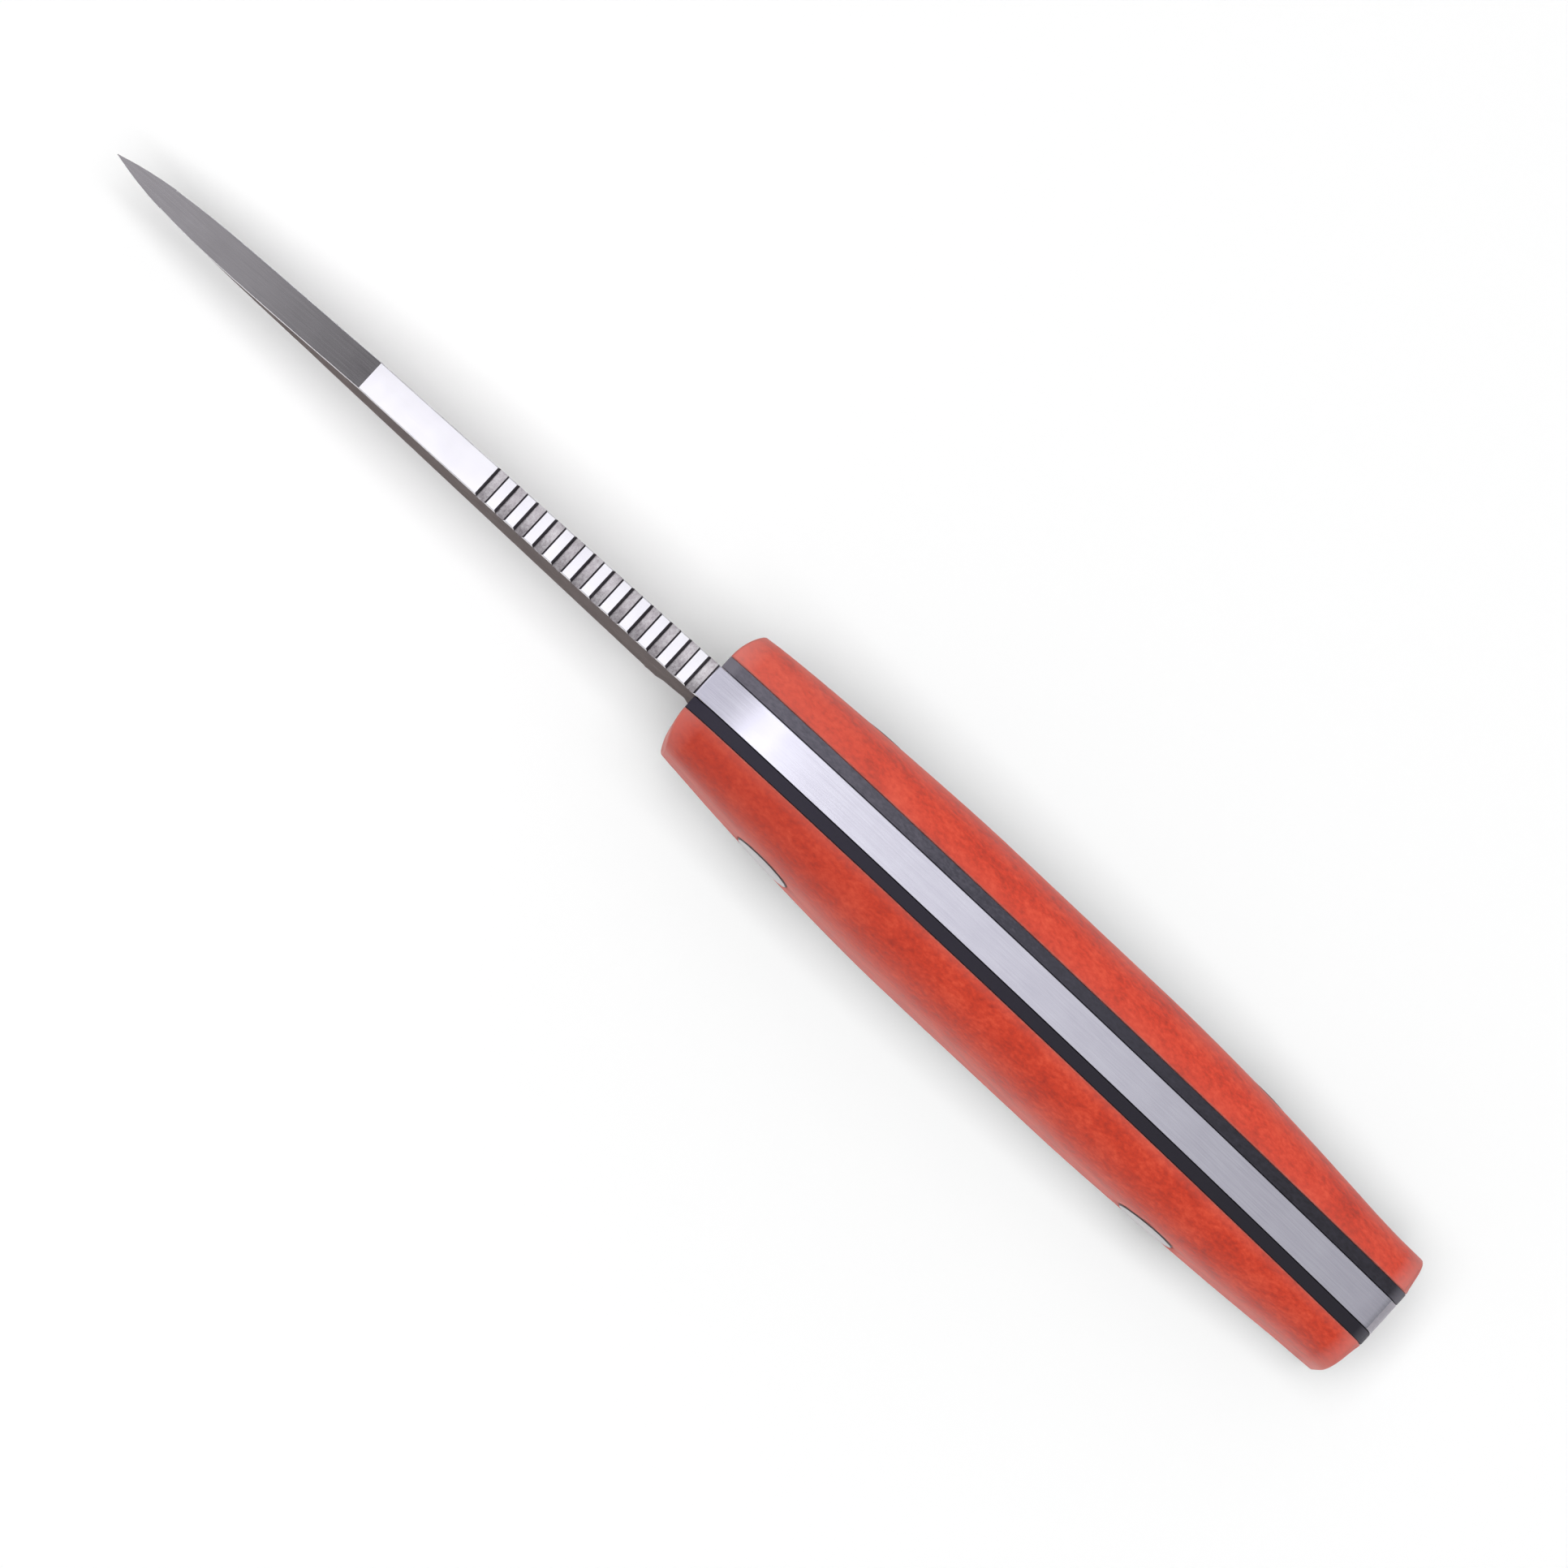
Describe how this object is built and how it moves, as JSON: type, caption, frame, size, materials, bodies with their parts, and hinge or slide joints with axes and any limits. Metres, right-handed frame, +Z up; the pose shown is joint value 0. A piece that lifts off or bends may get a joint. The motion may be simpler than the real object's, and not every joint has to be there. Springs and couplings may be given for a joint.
{
  "type": "hunting knife",
  "caption": "Fixed-blade hunting knife with a full-tang clip-point blade, notched spine, dark liners and contoured orange scales held by flush through bolts.",
  "frame": {"origin": "under the middle of the knife's bounding box, at its lowest point, with the knife edge down as it is held in use", "axes": "+X points along the knife to the tip, +Y points out of the left scale, +Z points up from the cutting edge to the spine"},
  "size_m": [0.1764, 0.019, 0.0284],
  "materials": {
    "blade_steel": "satin ground flanks, brighter brushed spine",
    "bolt_steel": "turned heads polished flush with the scales",
    "dowel_steel": "plain drawn rod, out of sight",
    "liner": "sanded glass-fibre laminate, near black",
    "scale": "blasted glass-fibre laminate, orange-red, fine fibrous grain"
  },
  "bodies": {
    "root": {"blade": "blade_steel", "left_liner": "liner", "right_liner": "liner", "left_scale": "scale", "right_scale": "scale", "front_bolt_barrel": "bolt_steel", "front_bolt_screw": "bolt_steel", "rear_bolt_barrel": "bolt_steel", "rear_bolt_screw": "bolt_steel", "front_dowel": "dowel_steel", "rear_dowel": "dowel_steel"}
  },
  "joints": []
}
